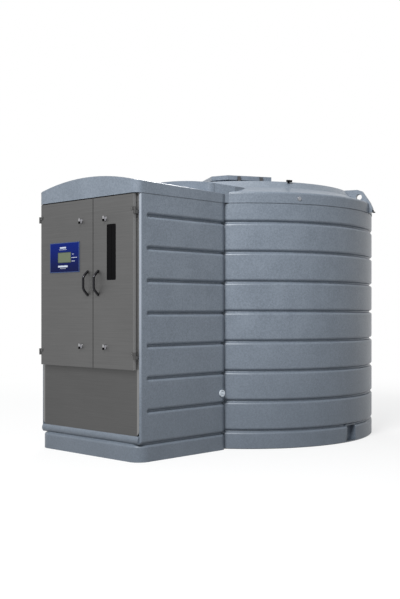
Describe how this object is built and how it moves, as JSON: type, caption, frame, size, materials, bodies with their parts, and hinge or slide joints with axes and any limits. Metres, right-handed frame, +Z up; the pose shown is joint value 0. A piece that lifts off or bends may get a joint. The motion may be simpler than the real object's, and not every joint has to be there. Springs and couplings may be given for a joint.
{
  "type": "diesel exhaust fluid tank with dispensing cabinet",
  "caption": "Round ribbed plastic storage tank for exhaust fluid with a two-door stainless dispensing cabinet, roof manway and lifting lugs.",
  "frame": {"origin": "middle of the footprint's bounding box, on the ground", "axes": "+Z up, the cabinet doors face -Y, +X to the right of somebody facing the doors"},
  "size_m": [2.166, 2.9094, 2.1473],
  "materials": {
    "tank_plastic": "satin, finely grained moulded polyethylene",
    "stainless": "brushed",
    "black_chrome": "polished dark metal",
    "black_rubber": "matt",
    "blue_plate": "semi-gloss",
    "display_window": "gloss",
    "white_plastic": "satin"
  },
  "bodies": {
    "tank": {"tank_floor": "tank_plastic", "tank_wall_front": "tank_plastic", "tank_wall_right_front": "tank_plastic", "tank_wall_right": "tank_plastic", "tank_wall_right_rear": "tank_plastic", "tank_wall_left_rear": "tank_plastic", "tank_wall_left": "tank_plastic", "tank_wall_left_front": "tank_plastic", "roof_cover": "tank_plastic", "manway_collar": "tank_plastic", "manway_hinge": "tank_plastic", "manway_clips": "stainless", "lifting_lug_right": "tank_plastic", "lifting_lug_left": "tank_plastic", "roof_knobs": "black_rubber", "roof_hooks": "black_rubber", "plinth_front": "tank_plastic", "plinth_right": "tank_plastic", "plinth_left": "tank_plastic", "cabinet_sill": "tank_plastic", "cabinet_floor": "tank_plastic", "cabinet_wall_right": "tank_plastic", "cabinet_wall_left": "tank_plastic", "cabinet_roof": "tank_plastic", "lower_panel": "stainless", "frame_uprights": "stainless", "frame_rails": "stainless", "centre_post": "stainless", "frame_hinges_left": "stainless", "frame_hinges_right": "stainless", "drain_plug": "white_plastic"},
    "left_door": {"left_door": "stainless", "left_door_hinges": "stainless", "left_handle": "black_chrome", "display_plate": "blue_plate", "display_window": "display_window"},
    "right_door": {"right_door": "stainless", "right_door_hinges": "stainless", "right_handle": "black_chrome", "slot_curtain": "black_rubber"},
    "manway_lid": {"manway_lid": "tank_plastic"},
    "upper_left_latch": {"upper_left_latch": "black_chrome"},
    "lower_left_latch": {"lower_left_latch": "black_chrome"},
    "upper_right_latch": {"upper_right_latch": "black_chrome"},
    "lower_right_latch": {"lower_right_latch": "black_chrome"}
  },
  "joints": [
    {"name": "left_door_hinge", "type": "hinge", "parent": "tank", "child": "left_door", "pos_m": [-0.511, -1.40225, 0.9], "axis": [0, 0, -1], "range_deg": [0, 110]},
    {"name": "right_door_hinge", "type": "hinge", "parent": "tank", "child": "right_door", "pos_m": [0.511, -1.40225, 0.9], "axis": [0, 0, 1], "range_deg": [0, 110]},
    {"name": "manway_lid_hinge", "type": "hinge", "parent": "tank", "child": "manway_lid", "pos_m": [-0.27032, 0.45017, 2.1353], "axis": [-0.5299, -0.848, 0], "range_deg": [0, 100]},
    {"name": "upper_left_latch_turn", "type": "hinge", "parent": "left_door", "child": "upper_left_latch", "pos_m": [-0.039, -1.40325, 1.653], "axis": [0, 1, 0], "range_deg": [0, 90]},
    {"name": "lower_left_latch_turn", "type": "hinge", "parent": "left_door", "child": "lower_left_latch", "pos_m": [-0.039, -1.40325, 0.768], "axis": [0, 1, 0], "range_deg": [0, 90]},
    {"name": "upper_right_latch_turn", "type": "hinge", "parent": "right_door", "child": "upper_right_latch", "pos_m": [0.217, -1.40325, 1.653], "axis": [0, -1, 0], "range_deg": [0, 90]},
    {"name": "lower_right_latch_turn", "type": "hinge", "parent": "right_door", "child": "lower_right_latch", "pos_m": [0.217, -1.40325, 0.768], "axis": [0, -1, 0], "range_deg": [0, 90]}
  ]
}
